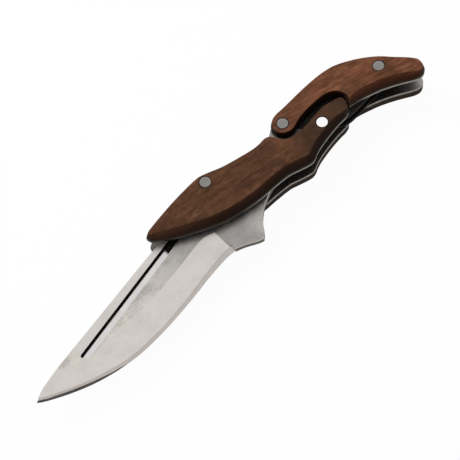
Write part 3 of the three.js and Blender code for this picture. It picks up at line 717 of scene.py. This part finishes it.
def blade_zone(face, cut_zone, high):
    """The face's zone: the cutter's own, or by how level it is and where on the blade."""
    if cut_zone:
        return cut_zone
    level = abs(face.normal.z)
    place = face.calc_center_median() / MM
    depth = high - place.z
    spot = Vector((place.x, place.y, 0)) - PULL_START
    offset = PULL_ALONG.y * spot.x - PULL_ALONG.x * spot.y
    in_pull = (abs(offset) < PULL_BESIDE and PULL_SPAN[0] < place.x < PULL_SPAN[1]
               and depth < PULL_DEPTH)
    # Painted shade: the groove's wall and its deep floor by the wall take the channel's near black
    deep_in_shade = depth > SHADE_DEPTH and offset > SHADE_EDGE
    if in_pull and (level < FLOOR_LEVEL or deep_in_shade):
        return CHANNEL
    if level > FLAT_LEVEL:
        if depth < TOP_DEPTH:
            return STRIP if offset > 0 and 0 < spot.dot(PULL_ALONG) < PULL_LENGTH else FLAT
        # Painted highlight: a strip of the flat beside the floor gets the ground bevel's brighter
        # colour
        if in_pull and offset < FLOOR_EDGE:
            return GROUND if offset > FLOOR_LINE else FLAT
        return PULL_FLOOR if in_pull else FLAT
    if level > GROUND_LEVEL:
        return GROUND
    return STONED if level > STONED_LEVEL else WALL


def is_tang_corner(edge):
    """A square outer corner of the tang's horn, which the maker broke with a file."""
    middle = (edge.verts[0].co + edge.verts[1].co) / 2 / MM
    levels = sorted(abs(face.normal.z) for face in edge.link_faces)
    square = len(levels) == 2 and levels[0] < UPRIGHT and levels[1] > LYING
    return square and middle.x > TANG_CORNER[0] and middle.y < TANG_CORNER[1]


def blade_mesh():
    low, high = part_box("blade")
    middle = (low.z + high.z) / 2
    shape = placed_mesh("blade")
    bmesh.ops.dissolve_limit(shape, angle_limit=SAME_PLANE, verts=shape.verts,
                             edges=shape.edges)
    side = Vector((PULL_ALONG.y, -PULL_ALONG.x, 0))
    planes = [(PULL_LENGTH, PULL_ALONG), (0, side), (FLOOR_EDGE, side), (FLOOR_LINE, side),
              (SHADE_EDGE, side)]
    for reach, facing in planes:
        bmesh.ops.bisect_plane(
            shape, geom=[*shape.verts, *shape.edges, *shape.faces], dist=SAME_PLACE,
            plane_co=(PULL_START + facing * reach) * MM, plane_no=facing)
    tang = [edge for edge in shape.edges if is_tang_corner(edge)]
    bmesh.ops.bevel(shape, geom=tang, offset=TANG_BREAK, segments=1, profile=0.5,
                    affect="EDGES", material=-1, clamp_overlap=True)
    start = bpy.data.meshes.new("blade_start")
    shape.to_mesh(start)
    shape.free()
    start.materials.append(bpy.data.materials.new("ground"))
    bevels, lips = sharpened_sections()
    carved = cut_by(bpy.data.objects.new("blade_start", start), [
        edge_cutter("stoned_near", 1, middle, bevels),
        edge_cutter("stoned_far", -1, middle, bevels),
        edge_cutter("lip_near", 1, middle, lips)])
    cut_zones = [{"s": STONED, "l": LIP}.get(material.name[0]) for material in carved.materials]
    shape = bmesh.new()
    shape.from_mesh(carved)
    # The boolean leaves faces with no area where its cuts meet
    bmesh.ops.dissolve_degenerate(shape, dist=SAME_PLACE, edges=shape.edges)
    bmesh.ops.remove_doubles(shape, verts=shape.verts, dist=SAME_PLACE)
    zone = shape.faces.layers.float.new("zone")
    zones = {}
    for face in shape.faces:
        face.normal_update()
        zones[face] = blade_zone(face, cut_zones[face.material_index], high.z / MM)
        face[zone] = zones[face] / ZONES
        face.material_index = 0
        face.smooth = True
    for edge in shape.edges:
        kinds = {zones[face] for face in edge.link_faces}
        edge.smooth = len(kinds) == 1 and edge.calc_face_angle(0) < SMOOTH_BELOW
    mesh = bpy.data.meshes.new("blade_finish")
    shape.to_mesh(mesh)
    shape.free()
    markers = list(carved.materials)
    bpy.data.meshes.remove(carved)
    for marker in markers:
        bpy.data.materials.remove(marker)
    return mesh


def both(name):
    return [name + "_near", name + "_far"]


def dress_knife():
    front_rivets = [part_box("front_rivet_near"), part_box("finger_rivet_near")]
    rear_rivets = [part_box("hinge_rivet_near"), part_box("butt_rivet_near")]
    front_wood = oiled_hardwood(
        "oiled_walnut", ("422a1b", "503425", "5b3d2b", "694935"), "704a34", "1e0d05",
        FRONT_GRAIN, front_rivets, (36, 50, 0.52), 0.97)
    rear_wood = oiled_hardwood(
        "oiled_bubinga", ("51331f", "653f2d", "754b36", "855940"), "85543e", "3b1b0c",
        REAR_GRAIN, rear_rivets, (64, 50, 0.3), 0.92)
    blade_steel = ground_blade_steel("ground_stainless_steel")
    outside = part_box("front_liner_far")[0].z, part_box("front_liner_near")[1].z
    liner_steel = liner_plate_steel("sheared_steel_plate", outside)
    strip_steel = hand_sanded_metal(
        "rubbed_spacer_steel", "94908c", "7c7874", 0.3, (0.4, 0.55), 0.5)
    rivet_steel = hand_sanded_metal("sanded_steel_rod", "94918e", "838180", 0.22, (0.5, 0.62))
    # The finger rivet's head is painted pure white: a painted highlight on polished metal
    nickel_silver_highlight = hand_sanded_metal(
        "polished_nickel_silver", "ffffff", "faf9f8", 0.3, (0.1, 0.18))
    # The lever plates and leaf springs inside the handle are painted near black as shade
    shaded_spring_steel = hand_sanded_metal(
        "blackened_spring_steel", "2e2b29", "1a1817", 0.3, (0.4, 0.6))
    # The washers' bronze is painted dark as shade, where it shows under the liner's edge
    shaded_bronze = hand_sanded_metal("oiled_bearing_bronze", "4a3c28", "2c241a", 0.3, (0.35, 0.5))

    scales = [("front_scale", front_wood, "front_handle", "front_wood"),
              ("rear_scale", rear_wood, "rear_handle", "rear_wood")]
    for name, wood, body, slot in scales:
        show(layered(name + "_near", NEAR_EDGE), name + "_near", wood, body)
        show(layered(name + "_far", FAR_EDGE, False), name + "_far", wood, body)
    plates = [("front_liner", liner_steel, "front_handle", "liner_steel"),
              ("rear_liner", liner_steel, "rear_handle", "liner_steel"),
              ("lever_plate", shaded_spring_steel, "rear_handle", "dark_steel")]
    for name, steel, body, slot in plates:
        for node in both(name):
            show(layered(node, rounded=name != "lever_plate"), node, steel, body)
    show(layered("back_spacer", rounded=False, edge_break=0), "back_spacer", strip_steel,
         "rear_handle")
    show(blade_mesh(), "blade", blade_steel, "blade")
    rivets = [("front_rivet", rivet_steel, "front_handle"),
              ("finger_rivet", nickel_silver_highlight, "front_handle"),
              ("hinge_rivet", rivet_steel, "rear_handle"),
              ("butt_rivet", rivet_steel, "rear_handle")]
    for name, steel, body in rivets:
        for node in both(name):
            show(turned(node), node, steel, body)
    # The leaf springs, held at the eye and carried at the tip by the lever's nose, stay in place
    for node in both("lever_spring"):
        show(layered(node, rounded=False), node, shaded_spring_steel,
             ("front_handle", "rear_handle", SPRING_HELD, SPRING_FREE))
    hidden = {
        "pivot_barrel": rivet_steel, "stop_pin": rivet_steel, "lock_stud": rivet_steel,
        "spacer_pin_1": rivet_steel, "spacer_pin_2": rivet_steel,
        "washer_near": shaded_bronze, "washer_far": shaded_bronze,
        "spring_rivet_near": rivet_steel, "spring_rivet_far": rivet_steel,
    }
    for node, material in hidden.items():
        for place in frame["nodes"][node].material_slots:
            place.material = material


# Floor, light and camera

def make_floor():
    bpy.ops.mesh.primitive_plane_add(size=6, location=(0, 0, 0))
    floor = bpy.context.object
    floor.name = "floor"
    floor.data.materials.append(white_board("matt_white_board"))


def make_world():
    world = bpy.data.worlds.new("studio")
    world.use_nodes = True
    tree = world.node_tree
    tree.nodes.clear()
    path = add(tree, "ShaderNodeLightPath")
    soft = add(tree, "ShaderNodeBackground", {"Color": rgb("ffffff"), "Strength": 0.42})
    mirrored = add(tree, "ShaderNodeBackground", {"Color": rgb("ffffff"), "Strength": 0.95})
    white = add(tree, "ShaderNodeBackground", {"Color": rgb("ffffff"), "Strength": 1.0})
    inner = add(tree, "ShaderNodeMixShader", {
        0: path.outputs["Is Glossy Ray"], 1: soft.outputs[0], 2: mirrored.outputs[0]})
    outer = add(tree, "ShaderNodeMixShader", {
        0: path.outputs["Is Camera Ray"], 1: inner.outputs[0], 2: white.outputs[0]})
    add(tree, "ShaderNodeOutputWorld", {"Surface": outer.outputs[0]})
    bpy.context.scene.world = world


def make_lamp(name, place_mm, size_mm, power, target=(20, 0, 5)):
    lamp = bpy.data.lights.new(name, "AREA")
    lamp.shape = "RECTANGLE"
    lamp.size, lamp.size_y = (side * MM for side in size_mm)
    lamp.energy = power
    holder = bpy.data.objects.new(name, lamp)
    bpy.context.scene.collection.objects.link(holder)
    holder.location = Vector(place_mm) * MM
    aim = Vector(target) * MM - holder.location
    holder.rotation_euler = aim.to_track_quat("-Z", "Y").to_euler()
    holder.visible_glossy = False


def make_camera():
    camera = bpy.data.cameras.new("camera")
    camera.lens = LENS_MM
    camera.sensor_width = SENSOR_MM
    camera.clip_start = 0.01
    holder = bpy.data.objects.new("camera", camera)
    bpy.context.scene.collection.objects.link(holder)
    back = -CAMERA_FORWARD.normalized()
    right = CAMERA_UP.cross(back).normalized()
    up = back.cross(right)
    turn = holder.matrix_world.to_3x3()
    for row in range(3):
        turn[row][0], turn[row][1], turn[row][2] = right[row], up[row], back[row]
    holder.matrix_world = turn.to_4x4()
    holder.location = CAMERA_PLACE
    bpy.context.scene.camera = holder


bpy.context.scene.view_settings.view_transform = "Standard"
make_camera()
dress_knife()
make_floor()
make_world()
make_lamp("key", (-60, 520, 470), (360, 260), 3.7)
make_lamp("fill", (-320, -260, 520), (420, 320), 0.9)
